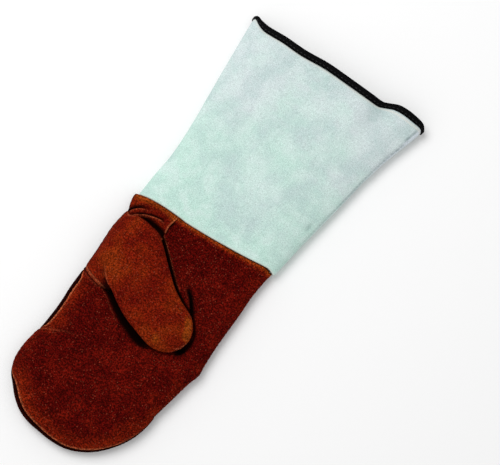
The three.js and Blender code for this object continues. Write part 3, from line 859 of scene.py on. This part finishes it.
# The thumb, section by section from the root, where it stands in the palm's cut-out, to the tip: step,
# place, turn in the plan, lean, top and base above the palm, half width, squareness and hug.
thumbRows = [
    (0, -58.6, -51, 0, 42.8, -3.8, -3.4, 37.6, 0.88, 1),
    (1, -59.2, -50.7, 0, 44.8, 1, 0.3, 37.2, 0.85, 1),
    (2, -57.4, -49.2, -3, 40, 6.4, 0.6, 34.2, 0.6, 0.8),
    (3, -52.3, -47.3, -7, 33, 10.8, 0.9, 32.1, 0.38, 0.4),
    (4, -46.2, -49.2, -12, 22, 13.4, 0.9, 33.4, 0.25, 0.2),
    (5, -38.3, -53.9, -17, 11, 15, 0.9, 32.7, 0.2, 0),
    (6, -28.4, -59.6, -20, 3, 15.8, 0.9, 30.8, 0.2, 0),
    (7, -16.7, -67, -21, 0, 16.2, 0.9, 29.6, 0.2, 0),
    (8, -3, -74.6, -21, 0, 16, 0.9, 27.9, 0.2, 0),
    (9, 12.2, -80, -21, 0, 15.6, 0.9, 26.2, 0.2, 0),
    (10, 27.1, -84.1, -21, 0, 14.6, 0.9, 25.2, 0.15, 0),
    (11, 36.6, -87.4, -21, 0, 12.8, 1.4, 21.2, 0.1, 0),
    (12, 42.6, -89.3, -21, 0, 10.4, 2.6, 15.7, 0.05, 0),
    (13, 46.2, -90.6, -21, 0, 8.4, 4, 9.6, 0, 0),
    (14, 48.2, -91.2, -21, 0, 6.2, 6.2, 0, 0, 0),
]
thumbCurve = curveThrough(thumbRows)
thumb = {
    "rings": 204, "sides": 172, "baseSquare": 0.4,
    # fold where the thumb comes out of the wing: x, y, rise, dip, shade
    "crotch": [(-36, -95, 0.2, 0, 1), (-38.5, -92.6, 0.3, 0.5, 1), (-43.2, -89.4, 0.7, 1, 1),
               (-49, -84.8, 1, 1.4, 0.95), (-52.9, -81.6, 1.1, 1.6, 0.9), (-56.8, -78.4, 0.8, 1.2, 0.6),
               (-61, -73.5, 0, 0, 0)],
    # ochre patches: x, y, reach along the thumb and across it, strength
    "ochre": [(25.3, -63.3, 6, 4, 0.55), (41, -71, 9, 3.6, 1), (44.5, -80, 6, 3.8, 0.95),
               (23.2, -99.3, 7, 5, 0.7), (0.4, -69.3, 16, 9, 0.25)],
    "ochreTurn": -50,
    # height that the wing may have over the palm, by the distance from its seam: at 0, per mm, per mm^2
    "wingRise": (1.0, 0.25, 0.012),
    # the upper end of the thumb's shoulder, tucked in below the folds of the strip: y over x
    "shoulder": [(-84, -14.4), (-80.5, -15.4), (-77, -17.4), (-74, -18), (-71.7, -16.4), (-68, -14.2),
                 (-60, -12), (-50, -11)],
}


def thumbAxis(step):
    x, y, turn, lean, top, base, half, square, hug = thumbCurve(step)
    turn = np.radians(turn)
    ahead = np.stack([np.cos(turn), np.sin(turn)], -1)
    sideways = np.stack([-np.sin(turn), np.cos(turn)], -1)
    return np.stack([x, y], -1), ahead, sideways, lean, top, base, np.maximum(half, 0), square, hug


def thumbOutline():
    # The thumb's outline in the plan as a closed polygon, up one side from the root and back.
    steps = np.linspace(0, 14, 160)
    centre, _, sideways, *_, half, _, _ = thumbAxis(steps)
    return np.vstack([centre + sideways * half[:, None], (centre - sideways * half[:, None])[::-1]]), steps


def thumbRings():
    # Rings from the root to the tip. A ring is a flattened oval, its sine and cosine raised to a power
    # for squareness, whose top leans back over its base and hugs the outline. Gives the plan, the
    # level over the palm, how far up and out of its ring each point is, and the steps.
    step = np.linspace(0, 14, thumb["rings"])
    centre, ahead, sideways, lean, top, base, half, square, hug = thumbAxis(step)
    dense = np.linspace(0, 2 * math.pi, 1441)
    lower = np.where(dense > math.pi, thumb["baseSquare"], 1.0)
    power = 1 - square[:, None] * lower
    denseUp = np.sign(np.sin(dense)) * np.abs(np.sin(dense)) ** power
    denseOut = np.sign(np.cos(dense)) * np.abs(np.cos(dense)) ** power
    # points lie evenly round each ring
    thick = np.hypot(lean, top - base)[:, None] / 2 + 1
    run = np.hypot(np.diff(denseUp * thick), np.diff(denseOut * (half[:, None] + 1)))
    run = np.concatenate([np.zeros((len(step), 1)), np.cumsum(run, 1)], 1)
    share = np.linspace(0, 1, thumb["sides"], endpoint=False)
    up = np.stack([np.interp(share * total[-1], total, line) for total, line in zip(run, denseUp)])
    out = np.stack([np.interp(share * total[-1], total, line) for total, line in zip(run, denseOut)])
    flat = centre[:, None] - ahead[:, None] * (up * lean[:, None] / 2)[..., None]
    flat = flat + sideways[:, None] * (out * half[:, None])[..., None]
    shift = thumbSide(flat[..., 1])[0] - thumbSide(centre[:, 1])[0][:, None]
    x = flat[..., 0] + hug[:, None] * shift * (0.5 + up / 2)
    level = ((top + base) / 2)[:, None] + up * ((top - base) / 2)[:, None]
    return x, flat[..., 1], level, up, out, step[:, None]


def ochrePatches(x, y):
    # Soft ochre patches on the thumb, turned with it.
    turn = math.radians(thumb["ochreTurn"])
    total = np.zeros_like(x)
    for spotX, spotY, long, wide, strength in thumb["ochre"]:
        ahead = (x - spotX) * math.cos(turn) + (y - spotY) * math.sin(turn)
        aside = (y - spotY) * math.cos(turn) - (x - spotX) * math.sin(turn)
        total += strength * bump(ahead, long) * bump(aside, wide)
    return total


def makeThumb(finish):
    # Thumb piece: the rings over the palm's dome, with the wing drawn to its seam, the shoulder ending
    # under the strip's folds, and the fold at the crotch.
    x, y, level, up, out, step = thumbRings()
    y = y + (1 - smooth(step, 1.4, 3.4)) * smooth(-out, 0.3, 1) * (wingSeam(x) + 87.2)
    limit = curveThrough(thumb["shoulder"])(x)
    beyond = (1 - smooth(step, 3, 5)) * smooth(out, 0.2, 0.6)
    y = y - beyond * np.logaddexp(0, (y - limit) / 1.2) * 1.2
    # the wing stays low over its seam, up to the fold
    signed, *_ = nearPath(x, y, thumb["crotch"])
    fromSeam = np.maximum(y - wingSeam(x), 0)
    start, slope, bend = thumb["wingRise"]
    cap = start + slope * fromSeam + bend * fromSeam**2
    lowered = -np.logaddexp(-level / 0.8, -cap / 0.8) * 0.8
    onWing = smooth(signed, 0.2, 1.6) * smooth(-y, 60, 72) * smooth(-out, 0.1, 0.5)
    level = level + (np.where(level > 0, np.minimum(lowered, level), level) - level) * onWing
    z = domeHeight(x, y) + level
    over = smooth(up, -0.3, 0.4)
    fold, foldLip, foldDark = tuck(x, y, thumb["crotch"], 6, 3.2, 0.6, 2.2)
    z = z + over * fold * smooth(z, 8, 16)
    z = z + smooth(up, 0, 0.6) * waves(x, y, 34, 0.45, 11) + waves(x, y, 15, 0.12, 13)
    points = np.stack([x, y, z], -1)
    points[-1] = points[-1].mean(0)
    seamLip = bump(fromSeam - 1.0, 0.8) * smooth(-out, 0.5, 0.9) * (x < -47) * (signed > 0)
    seamLip = seamLip * smooth(step, 0.5, 0.9)
    shoulderLip = bump(y - limit + 1.6, 1.0) * beyond * (x < -69) * smooth(up, -0.2, 0.3)
    tipSide = smooth(step, 8.5, 10.5) * smooth(out, 0.5, 0.85) * smooth(up, -0.1, 0.3)
    tipEnd = smooth(step, 12.2, 13.6)
    # pale specks along the lower rim of the tip
    tipRim = np.maximum(smooth(-out, 0.8, 0.93), smooth(step, 12.9, 13.5)) * smooth(up, 0, 0.25)
    tipRim *= bump(np.hypot(x - 44, y + 88), 9) * (0.55 + 0.45 * np.sin((x + y) * 2.4))
    # painted shade: the underside, the fold and the line along the thumb's side
    darks = [
        0.9 * smooth(-up, -0.1, 0.5) * (1 - smooth(step, 12, 14)),
        0.95 * foldDark * over * (1 - 0.5 * seamLip),
        0.8 * np.exp(-(x - thumbSide(y)[0]) / 1.1) * (y > -86),
    ]
    # edge: the top side lighter as painted light, soft ochre patches, and painted sheen along the tip's
    # side and the wing's seam
    ochre = 0.12 * smooth(up, -0.2, 0.4) + ochrePatches(x, y) * smooth(up, -0.2, 0.3)
    wall = 0.02 + smooth(step, 1.4, 3.6) * (1 - smooth(step, 13.2, 14))
    # lip paints highlights on the wing seam's edge, the fold and the shoulder, and pale specks along the
    # tip's lower rim
    values = {
        "edge": np.clip(ochre + 0.25 * tipSide + 0.3 * seamLip, 0, 1),
        "lip": np.clip(0.6 * seamLip + 0.3 * foldLip * over + 0.3 * shoulderLip + 0.75 * tipRim, 0, 1),
        "deep": np.clip(np.maximum.reduce(darks), 0, 1),
        "moreFlecks": np.clip(tipEnd * smooth(-out, -0.2, 0.4) + tipEnd * 0.5 + 0.5 * tipSide, 0, 1),
        "wall": np.broadcast_to(wall, x.shape),
    }
    outward = ringsOutward(points, gridNormals(points, around=True))
    makeWall("thumb_cover", points, values, outward, hand["leather"], finish, "thumb", around=True)


strip = {
    "rows": 190, "columns": 150, "bottom": -25.0, "wrapColumns": 40, "wrapTo": 55.0, "crown": 24.6,
    # the short seam beside the palm's cut-out: y, x
    "shortSeam": [(-25, -32), (-14, -34.6), (-9, -36), (-1, -34.4), (9, -34.4)],
    # folds that lap over each other below the cuff: x, y, rise, dip, shade
    "foldOne": [(-84, -22, 1, 1, 0.9), (-80.4, -18.4, 1.6, 3, 1), (-77.7, -14, 1.8, 3.4, 1),
                (-75, -11, 1.6, 3.4, 1), (-71.5, -8.2, 1.2, 3, 0.95), (-67, -6, 0.8, 2, 0.6),
                (-60, -4, 0, 0, 0)],
    "foldTwo": [(-84, -27, 0, 0, 0), (-79, -22.4, 0.5, 0.4, 0.2), (-75, -19.1, 1.4, 1.4, 0.4),
                (-71.7, -16, 2.4, 2, 0.7), (-67.3, -13, 3.4, 2.8, 1), (-61.7, -9.9, 3.6, 3.4, 1),
                (-55.8, -7.2, 3.2, 3.4, 1), (-51, -5.6, 2.6, 3, 1), (-46.1, -4.4, 1.6, 2.2, 0.9),
                (-43, -4.6, 0.6, 0.6, 0.3), (-40, -5, 0, 0, 0)],
    # the groove between the folds and the thumb: x, y, height, width
    "groove": [(-74, -21, 0, 1.6), (-69.1, -19.6, -2, 1.8), (-65, -17, -4, 2), (-61, -14.8, -6, 2.2),
               (-56, -13.4, -7, 2.4), (-51.6, -13, -7, 2.5), (-45.8, -12.9, -7, 2.5), (-40, -13.4, -7, 2.5),
               (-34, -15.4, -7, 2.5)],
}


def makeStrip(finish):
    # Strip of the thumb piece under the cuff: rows run across from the thumb's side to the short seam,
    # from the wrist seam down to under the fold at the thumb's root.
    down = np.linspace(0, 1, strip["rows"])
    leftY = hand["wristLeft"] + (strip["bottom"] - hand["wristLeft"]) * down
    leftX, _ = thumbSide(leftY)
    rightX = np.interp(leftY, *np.transpose(strip["shortSeam"]))
    seam = np.full(len(down), hand["seamHalf"] - hand["seamSwing"])
    wrap = evenAngles(seam, np.full(len(down), strip["wrapTo"]), strip["wrapColumns"])
    inset, z = section(wrap, hand["meanHalf"], strip["crown"], hand["side"], 0, hand["fullness"])
    start = leftX + inset[:, -1]
    across = np.linspace(0, 1, strip["columns"])[1:]
    x = np.concatenate([leftX[:, None] + inset, start[:, None] + (rightX - start)[:, None] * across], 1)
    slope = (hand["wristRight"] - hand["wristLeft"]) / hand["wristWidth"]
    y = leftY[:, None] + (x - leftX[:, None]) * slope * (1 - smooth(down, 0.2, 1))[:, None]
    # the wrapped columns are raised so that they meet the dome
    domed = domeHeight(x, y)
    wrapped = z.shape[1]
    z = z + (domed[:, wrapped] - z[:, -1])[:, None] * smooth(wrap, 0, strip["wrapTo"])
    height = np.concatenate([z, domed[:, wrapped:]], 1)
    raised = smooth(height, 6, 15)
    one, oneLip, oneDark = tuck(x, y, strip["foldOne"], 4, 4, 0.6, 3.9)
    two, twoLip, twoDark = tuck(x, y, strip["foldTwo"], 12, 3.2, 0.6, 2.4)
    groove = crease(x, y, strip["groove"])
    height += (one + two + groove) * raised + waves(x, y, 24, 0.25, 31) * raised
    fromWrist = np.maximum(wristLine(x) - y, 0)
    height -= rolledEdge(fromWrist, palm["wristRadius"], palm["wristDepth"]) * raised
    fromShort = rightX[:, None] - x
    height += 0.9 * bump(fromShort, 5, 1) - rolledEdge(fromShort, 1.4, 1.2)
    # below the notch the side dives under the thumb
    dive = smooth(-y, 15.5, 20) * (1 - smooth(x, -72, -66))
    x = x + 2.5 * dive * (1 - smooth(x, -76, -70))
    height -= 1.5 * dive
    points = np.stack([x, y + bow(x, alongAt(x, y)), height], -1)
    foldLip = np.maximum(0.22 * oneLip, 0.4 * twoLip) * smooth(height, 9, 13)
    # painted shade: the two folds, the groove, and the gaps at the wrist and along the side
    darks = [
        oneDark * (1 - 0.5 * twoLip),
        0.95 * twoDark,
        np.clip(-groove / 4.5, 0, 0.97),
        0.35 * bump(fromWrist, 0.5, 1),
        0.85 * np.exp((leftX[:, None] - x) / 1.2),
    ]
    # edge paints sheen beside the wrist seam and the short seam; lip paints highlights on the short seam's
    # edge and the folds
    values = {
        "edge": np.clip(0.95 * bump(fromWrist, 8) + 0.5 * bump(fromShort, 5, 1), 0, 1),
        "lip": np.clip(0.6 * bump(fromShort - 0.8, 0.8) + foldLip, 0, 1),
        "deep": np.clip(np.maximum.reduce(darks), 0, 1),
    }
    outward = gridNormals(points)[..., 2].mean()
    makeWall("wrist_strip", points, values, outward, hand["leather"], finish, "thumb")


cuff = {
    "rows": 190, "columns": 104, "leather": 2.0, "wristGap": 0.5, "length": 205.0,
    "mouthLeft": 217.0, "mouthRight": 227.5,   # y of the mouth at each side
    "edgeReach": 0.25,                         # share of the length that follows the mouth's waves
    "seamRadius": 2.5, "seamDepth": 0.9,       # turned edge at the wrist
    # dent by the mouth, and small fold near the wrist: x, y, reach across and along, depth
    "dent": (58, 234, 12, 38, 4.4),
    "dimple": (73, 81, 2.2, 5, 1.6),
    # side seam on the upper side: x, y, height, width
    "sideSeam": [(99.3, 227, -0.9, 0.8), (96.6, 214.6, -0.9, 0.8), (94.4, 200.8, -0.9, 0.8),
                 (91.2, 187, -0.8, 0.8), (88.9, 173.7, -0.6, 0.8), (86.6, 156.7, -0.5, 0.8),
                 (84.8, 136, -0.45, 0.8), (82, 110, -0.4, 0.8), (78.6, 80, -0.3, 0.8),
                 (76.4, 52, 0, 0.8)],
}
# The cuff's section over the share of its length: left and right side in x, height of the top, of the
# widest line and of the underside, and fullness.
cuffCurve = curveThrough([
    (0, -82.2, 74.6, 24, 9, 0, 3.5), (0.06, -82.4, 75.6, 24, 9, 0, 3.5),
    (0.13, -82.4, 76.7, 24, 9, 0, 3.4), (0.21, -81.6, 78.2, 24, 9, 0, 3.3),
    (0.28, -82, 80, 24, 9, 0, 3.2), (0.35, -83.4, 81.6, 24, 9, 0, 3),
    (0.42, -85.2, 83.2, 24, 9, 0, 2.9), (0.49, -87.3, 84.7, 24, 9, 0, 2.8),
    (0.55, -89.4, 85.9, 24, 9, 0, 2.8), (0.62, -91.6, 87.2, 24, 9.1, 0, 2.7),
    (0.68, -93.7, 89.2, 24, 9.3, 0.1, 2.6),
    (0.75, -95.8, 91.4, 24, 9.5, 0.2, 2.5), (0.82, -98, 94.4, 24, 9.8, 0.4, 2.5),
    (0.88, -99.9, 97.5, 23.8, 10, 0.8, 2.4), (0.95, -102, 101, 23.6, 10.2, 1.2, 2.4),
    (1, -103.4, 103.2, 23.4, 10.4, 1.6, 2.4),
])
# the mouth's waves: shift in y over the share of its width
mouthEdge = curveThrough([
    (0, 2), (0.012, 3.2), (0.041, 1.1), (0.085, -0.6), (0.14, -0.5), (0.194, -0.1), (0.31, -0.6),
    (0.44, 1.5), (0.575, 1.1), (0.71, 0.7), (0.76, 1.3), (0.79, 4.1), (0.83, 7.6), (0.885, 8.6),
    (0.945, 7.9), (0.975, 6.8), (0.988, 5.4), (1, 2.5),
])


def cuffPoints(along, angles, left):
    # Points of one half of the cuff: rows are shares of its length, columns are section angles.
    leftX, rightX, top, side, floor, fullness = (v[:, None] for v in cuffCurve(along))
    a = along[:, None]
    leftY = hand["wristLeft"] + cuff["wristGap"]
    leftY = leftY + (cuff["mouthLeft"] - leftY) * a
    rightY = hand["wristRight"] + cuff["wristGap"]
    rightY = rightY + (cuff["mouthRight"] - rightY) * a
    half = np.hypot(rightX - leftX, rightY - leftY) / 2
    inset, z = section(angles, half, top, side, floor, fullness)
    share = np.minimum(inset / half, 1)
    edgeX, edgeY = (leftX, leftY) if left else (rightX, rightY)
    x = edgeX + ((leftX + rightX) / 2 - edgeX) * share
    y = edgeY + ((leftY + rightY) / 2 - edgeY) * share
    across = np.clip((x - leftX) / (rightX - leftX), 0, 1)
    y = y + wristBow(across) * (1 - a) ** hand["bowFade"]
    y = y + mouthEdge(across) * np.clip((a - 1) / cuff["edgeReach"] + 1, 0, 1) ** 2
    dentX, dentY, wide, long, deep = cuff["dent"]
    dent = deep * bump(x - dentX, wide) * bump(y - dentY, long)
    z = z - dent * np.clip(np.sin(np.radians(angles)), 0, 1)
    return np.stack([x, y, z], -1)


def cuffRings(along):
    # Whole rings: up the left half, over the top and down the right half.
    count = cuff["columns"]
    bottom = evenAngles(np.array([-90.0]), np.array([0.0]), count // 2 + 1, 85, 15, 3)[0]
    topHalf = evenAngles(np.array([0.0]), np.array([90.0]), count // 2 + 1, 85, 15, 3)[0]
    angles = np.broadcast_to(np.concatenate([bottom, topHalf[1:]]), (len(along), count + 1))
    left = cuffPoints(along, angles, True)
    right = cuffPoints(along, angles[:, ::-1][:, 1:-1], False)
    return np.concatenate([left, right], 1), np.concatenate([angles, angles[:, ::-1][:, 1:-1]], 1)


def makeCuff(finish):
    # Gauntlet: rings of a flattened tube with a soft dent, faint folds and a side seam.
    along = np.linspace(0, 1, cuff["rows"])
    points, angles = cuffRings(along)
    x, y = points[..., 0], points[..., 1]
    over = np.clip(np.sin(np.radians(angles)), 0, 1)
    lift = waves(x, y, 90, 0.8, 21) + waves(x, y, 38, 0.25, 23)
    seam = crease(x, y, cuff["sideSeam"]) * (over > 0)
    foldX, foldY, wide, long, deep = cuff["dimple"]
    dimple = bump(x - foldX, wide) * bump(y - foldY, long) * (over > 0)
    points[..., 2] += over * lift * smooth(along, 0, 0.12)[:, None] + over**0.3 * seam - deep * dimple
    dentX, dentY, wide, long, _ = cuff["dent"]
    valley = bump(x - dentX + 4, wide) * bump(y - dentY, long) * over
    fromWrist = (along * cuff["length"])[:, None]
    fromMouth = cuff["length"] - fromWrist
    normals = gridNormals(points, around=True)
    outward = np.sign(ringsOutward(points, normals))
    points -= outward * normals * rolledEdge(fromWrist, cuff["seamRadius"], cuff["seamDepth"])[..., None]
    besideSeam, height, _ = nearPath(x, y, cuff["sideSeam"])
    beside = smooth(besideSeam, 0.4, 1.2) * (over > 0) * (x > 70)
    tapeLine = bump(fromMouth - tapeDepth(x, angles) - 0.5, 0.7)
    # deep paints shade in the side seam's groove, the dimple and the dent; strip paints a highlight in a
    # strip beside the seam
    values = {
        "lip": 0.7 * bump(fromWrist - 0.3, 0.7) + 0.5 * tapeLine,
        "deep": np.clip(-seam * 1.1 + 0.3 * dimple + 0.22 * valley, 0, 0.85),
        "strip": beside * np.clip(-height, 0, 1),
    }
    makeWall("cuff_sleeve", points, values, outward, cuff["leather"], finish, "cuff", around=True)


tape = {
    "thick": 0.9, "depth": 6.0, "across": 22, "clear": 0.25,
    # stitches: spacing, length, half thickness and place as a share of the tape's depth
    "stitchGap": 4.4, "stitchLong": 2.3, "stitchThick": 0.28, "stitchFrom": 0.58,
}
tapeRadius = cuff["leather"] / 2 + tape["clear"] + tape["thick"]
# share of the tape's full depth on the upper face, over x
tapeNarrow = curveThrough([
    (-104, 0.38), (-100, 0.5), (-94, 0.78), (-84, 1), (0, 1.04), (80, 1), (90, 0.95), (97, 0.8),
    (101, 0.6), (104, 0.45),
])


def tapeDepth(x, angles):
    # How far the tape reaches along the cuff: narrower on the upper face near the mouth's two ends.
    upper = smooth(angles, -10, 12)
    return tape["depth"] * (1 + (tapeNarrow(x) - 1) * (0.45 + 0.55 * upper))


def tapeSection(count):
    # The tape's folded line in the mouth edge's own plane: along the cuff, as a share of its depth, and
    # forward over the rounded lip, and off the face.
    bend = np.linspace(-math.pi / 2, math.pi / 2, count)
    along = np.concatenate([[-1, -0.5], np.zeros(count), [-0.5, -1]])
    ahead = np.concatenate([[0, 0], 0.8 * np.cos(bend), [0, 0]])
    off = np.concatenate([[1, 1.06], -np.sin(bend), [-1.06, -1]])
    return along, ahead * tapeRadius, off * tapeRadius


def mouthFrames():
    # The mouth's line, its own directions (forward out of the cuff, onward round it and off its face)
    # and the tape's depth.
    (inboard, mouth), (angles, _) = cuffRings(np.array([1 - tape["depth"] / cuff["length"], 1.0]))
    forward = mouth - inboard
    forward /= np.linalg.norm(forward, axis=1, keepdims=True)
    onward = np.roll(mouth, -1, 0) - np.roll(mouth, 1, 0)
    onward /= np.linalg.norm(onward, axis=1, keepdims=True)
    out = np.cross(onward, forward)
    out *= np.sign((out * (mouth - mouth.mean(0))).sum(1).mean())
    return mouth - out * cuff["leather"] / 2, forward, onward, out, tapeDepth(mouth[:, 0], angles)


def makeTape(finish):
    # Binding: the folded section carried round the mouth's edge.
    centre, forward, _, out, depth = mouthFrames()
    along, ahead, off = tapeSection(tape["across"])
    reach = along[:, None] * depth + ahead[:, None]
    points = centre + forward * reach[..., None] + out * off[:, None, None]
    outward = (gridNormals(points, around=True)[0] * out).sum(1).mean()
    makeWall("mouth_binding", points, {}, outward, tape["thick"], finish, "cuff_binding", around=True)


def stitchPlaces():
    # Even steps along the mouth's line: the places, its directions there and the tape's depth.
    fields = np.column_stack(mouthFrames())
    fields = np.vstack([fields, fields[:1]])
    steps = np.linalg.norm(np.diff(fields[:, :3], axis=0), axis=1)
    length = np.concatenate([[0], np.cumsum(steps)])
    count = int(length[-1] / tape["stitchGap"])
    at = (np.arange(count) + 0.5) / count * length[-1]
    found = np.column_stack([np.interp(at, length, field) for field in fields.T])
    return np.split(found, [3, 6, 9, 12], axis=1)


def makeTapeStitches(finish):
    # Short stitches along the tape, inside and outside the mouth: each is a bead of five rings with six
    # sides and pointed ends, all of them one mesh.
    place, ahead, onward, off, depth = stitchPlaces()
    turn = np.linspace(0, 2 * math.pi, 6, endpoint=False)
    along = np.array([-1, -0.8, 0, 0.8, 1])[:, None] * tape["stitchLong"] / 2
    thick = np.array([0.15, 0.8, 1, 0.8, 0.15])[:, None] * tape["stitchThick"]
    bead = np.stack([along + 0 * turn, thick * np.cos(turn), thick * np.sin(turn)], -1).reshape(-1, 3)
    directions = np.stack([onward, ahead, off], 1)
    points = []
    for side in (1, -1):
        base = place - ahead * depth * tape["stitchFrom"] + off * side * tapeRadius * 1.04
        points.append((base[:, None] + bead @ directions).reshape(-1, 3))
    points = np.vstack(points)
    ring = np.arange(6)
    after = np.roll(ring, -1)
    band = np.stack([ring, after, 6 + after, 6 + ring], -1)
    sides = np.concatenate([band + 6 * k for k in range(4)])
    starts = np.arange(0, len(points), len(bead))
    quads = (starts[:, None, None] + sides).reshape(-1, 4)
    ends = np.concatenate([starts[:, None] + ring[::-1], starts[:, None] + 24 + ring])
    mesh = bpy.data.meshes.new("binding_stitches")
    shifted = (points + (0, hand["centreShift"], 0)) * mm
    mesh.from_pydata(shifted.tolist(), [], quads.tolist() + ends.tolist())
    mesh.update()
    faceOutwards(mesh)
    finishPiece(addObject("binding_stitches", mesh), *finish)


def faceOutwards(mesh):
    shape = bmesh.new()
    shape.from_mesh(mesh)
    bmesh.ops.recalc_face_normals(shape, faces=shape.faces)
    shape.to_mesh(mesh)
    shape.free()


def main():
    setStage()
    brown = suedeFinish("brown_suede", 0.0)
    makePalm(brown)
    makeBack(brown)
    lighter = suedeFinish("thumb_suede", 1.0)
    makeThumb(lighter)
    makeStrip(lighter)
    makeCuff(cuffFinish())
    makeTape(tapeFinish())
    makeTapeStitches(threadFinish())


main()
